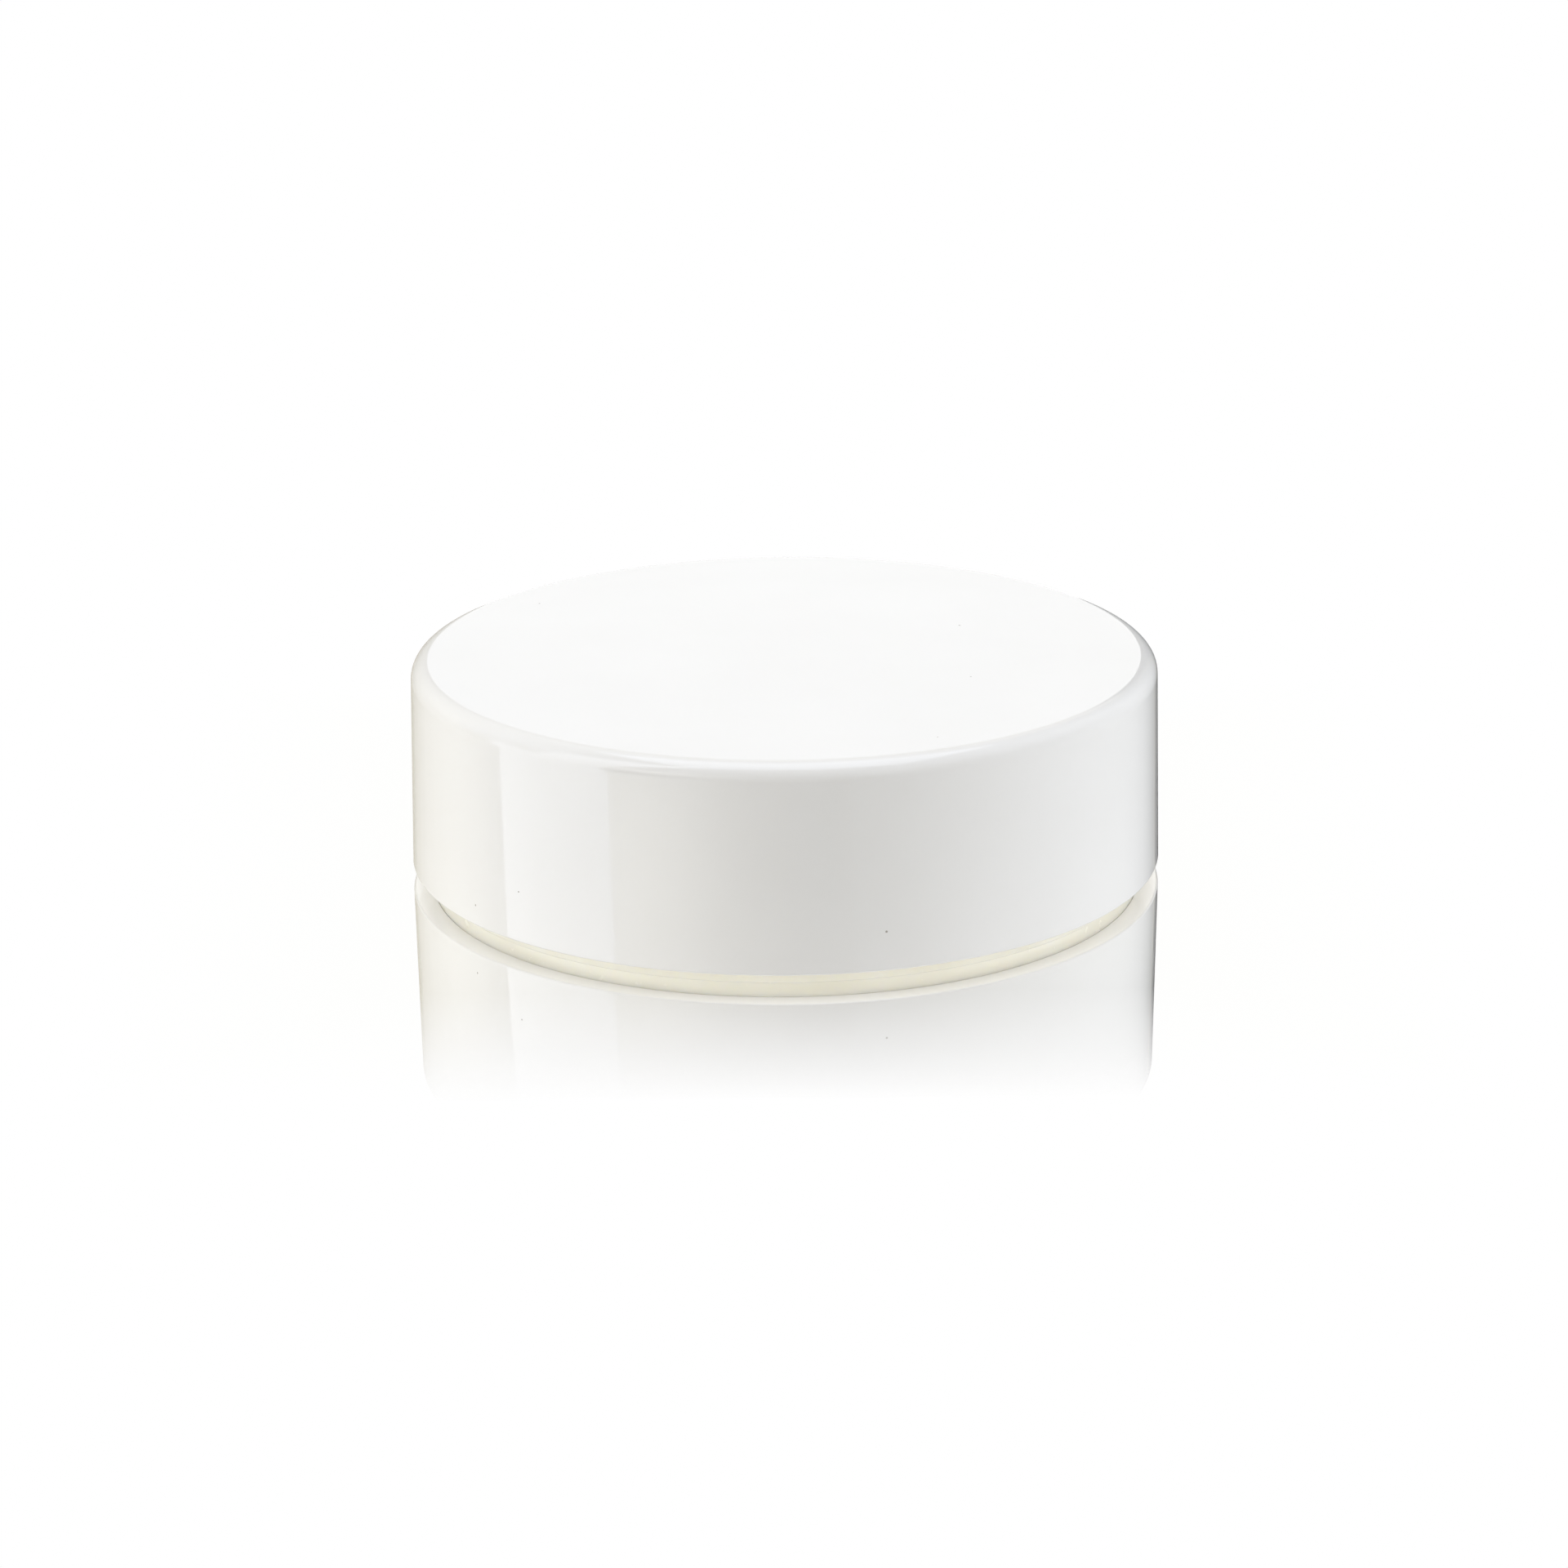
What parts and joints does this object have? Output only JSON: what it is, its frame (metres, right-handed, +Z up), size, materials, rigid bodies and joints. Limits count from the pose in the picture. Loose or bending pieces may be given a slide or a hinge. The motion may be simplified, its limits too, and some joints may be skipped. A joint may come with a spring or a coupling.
{
  "type": "lidded shaving soap puck tub",
  "caption": "Low round tub with a glossy white push-on lid, holding a puck of hard shaving soap that a brush is loaded from.",
  "frame": {"origin": "centre of the flat ring that the tub stands on", "axes": "+Z up along the tub's own axis; the piece is round about Z, so +X and +Y are equal"},
  "size_m": [0.085, 0.085, 0.025],
  "materials": {
    "lid_gloss": "polished moulded plastic",
    "insert_satin": "satin moulded plastic",
    "liner_foam": "closed-cell foam sheet",
    "tub_milky": "milky translucent natural plastic",
    "soap": "waxy hard soap"
  },
  "bodies": {
    "tub_body": {"tub": "tub_milky", "soap_puck": "soap"},
    "lid_body": {"lid_shell": "lid_gloss", "lid_insert": "insert_satin", "lid_liner": "liner_foam"}
  },
  "joints": [
    {"name": "lid_lift", "type": "slide", "parent": "tub_body", "child": "lid_body", "axis": [0, 0, 1], "range_m": [0, 0.05]}
  ]
}
